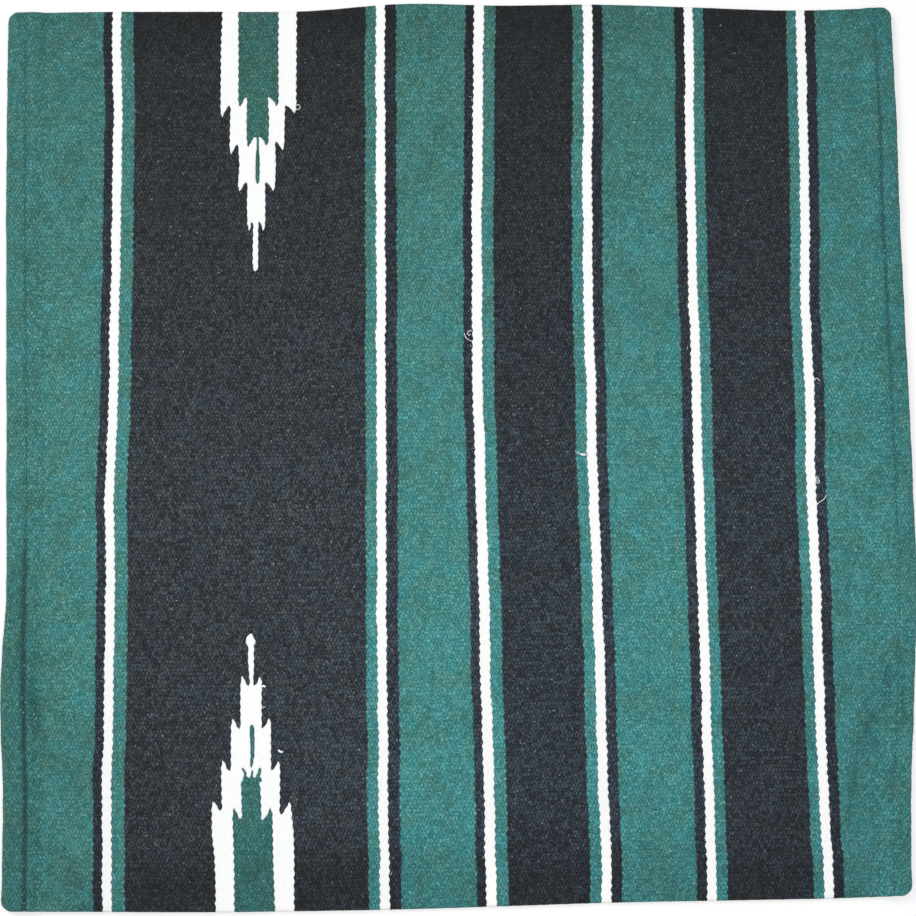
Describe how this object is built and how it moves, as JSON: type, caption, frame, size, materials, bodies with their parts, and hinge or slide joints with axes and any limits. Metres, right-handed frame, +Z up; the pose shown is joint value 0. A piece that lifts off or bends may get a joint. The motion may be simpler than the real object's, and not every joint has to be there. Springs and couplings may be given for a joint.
{
  "type": "saddle blanket",
  "caption": "Square woven saddle blanket, laid flat: wide and narrow weft stripes, a stepped figure at each selvedge, and warp ends turned under in sewn hems.",
  "frame": {"origin": "centre of the blanket's footprint, on the surface that it lies on", "axes": "+Z up, out of the face; +X along the warp, across the stripes, from the left hem to the right hem; +Y along the weft, from the lower selvedge to the upper one, which is the top of the picture"},
  "size_m": [0.823, 0.8222, 0.009],
  "materials": {
    "green_weft": "heathered blue-green wool weft, matt",
    "black_weft": "charcoal black wool weft with pale flecks, matt",
    "white_weft": "bleached white wool weft, matt",
    "warp_cotton": "unbleached twisted cotton",
    "sewing_thread": "dark green spun polyester sewing thread"
  },
  "bodies": {
    "root": {"green_border_left": "green_weft", "narrow_black_1": "black_weft", "white_stripe_1": "white_weft", "narrow_green_1": "green_weft", "black_figure_field": "black_weft", "narrow_green_2": "green_weft", "white_stripe_2": "white_weft", "narrow_black_2": "black_weft", "green_field_left": "green_weft", "narrow_black_3": "black_weft", "white_stripe_3": "white_weft", "narrow_green_3": "green_weft", "black_field_middle": "black_weft", "narrow_green_4": "green_weft", "white_stripe_4": "white_weft", "narrow_black_4": "black_weft", "green_field_right": "green_weft", "narrow_black_5": "black_weft", "white_stripe_5": "white_weft", "narrow_green_5": "green_weft", "black_field_right": "black_weft", "narrow_green_6": "green_weft", "white_stripe_6": "white_weft", "narrow_black_6": "black_weft", "green_border_right": "green_weft", "white_figure_top": "white_weft", "green_core_top": "green_weft", "white_figure_bottom": "white_weft", "green_core_bottom": "green_weft", "warp_layer": "warp_cotton", "needle_thread_left": "sewing_thread", "bobbin_thread_left": "sewing_thread", "needle_thread_right": "sewing_thread", "bobbin_thread_right": "sewing_thread"}
  },
  "joints": []
}
